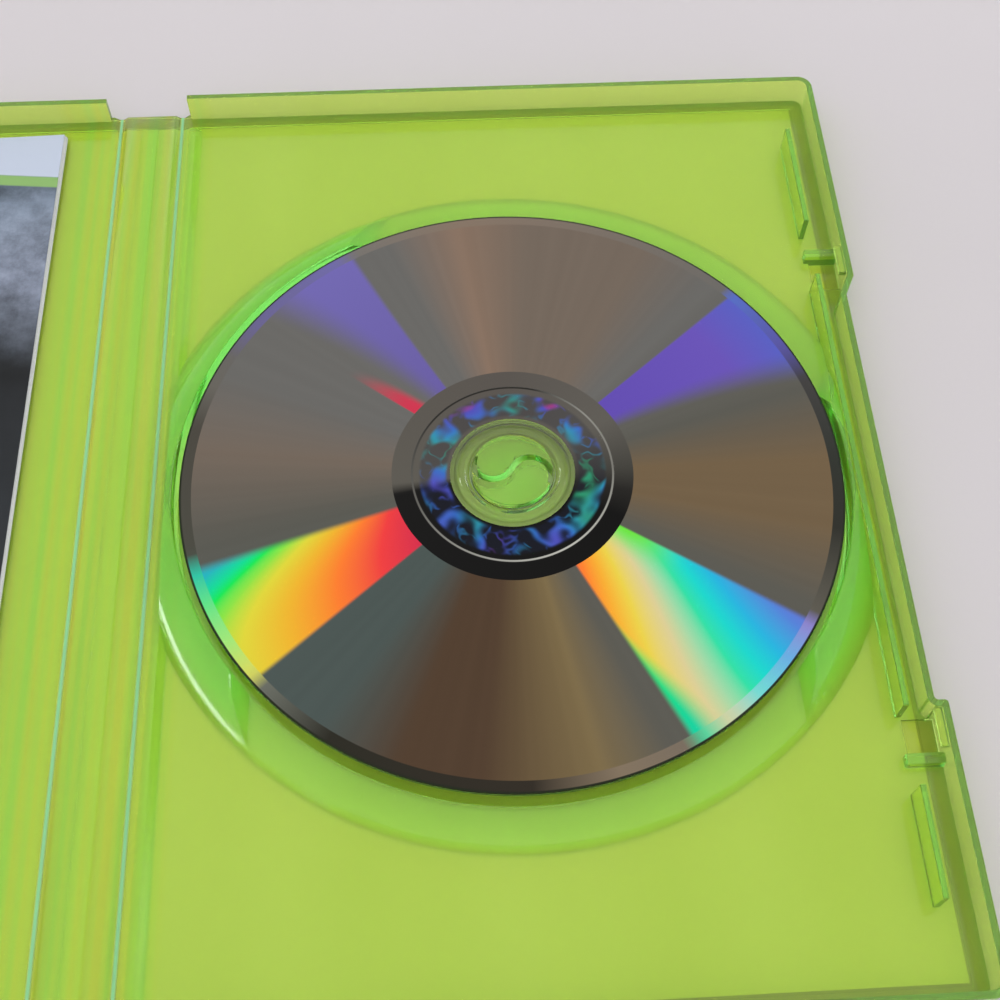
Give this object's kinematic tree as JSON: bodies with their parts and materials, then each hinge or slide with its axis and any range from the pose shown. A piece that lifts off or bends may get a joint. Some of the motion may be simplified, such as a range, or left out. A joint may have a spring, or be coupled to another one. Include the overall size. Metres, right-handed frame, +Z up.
{
  "type": "game disc case",
  "caption": "Clear green moulded game disc case lying open, with a disc on its push-release hub, a booklet in the cover half, a paper insert and a clear sleeve.",
  "frame": {"origin": "on the table under the middle of the spine, which is the bottom centre of the open case", "axes": "+X across the open case towards the tray half, +Y along the spine, +Z up from the table"},
  "size_m": [0.2834, 0.19, 0.0102],
  "materials": {
    "case_plastic": "clear green moulded polypropylene, smooth and slightly waxy",
    "disc": "mirror data side with a diffraction sheen",
    "booklet_paper": "coated print paper",
    "staple_wire": "bright wire",
    "insert_paper": "smooth white paper",
    "sleeve_film": "clear glossy film"
  },
  "bodies": {
    "tray": {"tray_half": "case_plastic", "disc": "disc", "insert_back": "insert_paper", "sleeve_back": "sleeve_film"},
    "spine": {"spine": "case_plastic", "insert_spine": "insert_paper", "sleeve_spine": "sleeve_film"},
    "cover": {"cover_half": "case_plastic", "booklet": "booklet_paper", "booklet_staples": "staple_wire", "insert_front": "insert_paper", "sleeve_front": "sleeve_film"},
    "tongue_far": {"hub_tongue_far": "case_plastic"},
    "tongue_near": {"hub_tongue_near": "case_plastic"}
  },
  "joints": [
    {"name": "tray_spine_hinge", "type": "hinge", "parent": "tray", "child": "spine", "pos_m": [0.0065, 0, 0.0006], "axis": [0, 1, 0], "range_deg": [0, 90]},
    {"name": "spine_cover_hinge", "type": "hinge", "parent": "spine", "child": "cover", "pos_m": [-0.0065, 0, 0.0006], "axis": [0, 1, 0], "range_deg": [0, 90]},
    {"name": "hub_press_far", "type": "hinge", "parent": "tray", "child": "tongue_far", "pos_m": [0.07526, 0.00634, 0.0036], "axis": [0.9063, -0.4226, 0], "range_deg": [0, 6], "stiffness_Nm_per_rad": 0.2},
    {"name": "hub_press_near", "type": "hinge", "parent": "tray", "child": "tongue_near", "pos_m": [0.06934, -0.00634, 0.0036], "axis": [-0.9063, 0.4226, 0], "range_deg": [0, 6], "stiffness_Nm_per_rad": 0.2}
  ],
  "couplings": [
    {"joint": "hub_press_near", "follows": "hub_press_far", "ratio": 1}
  ]
}
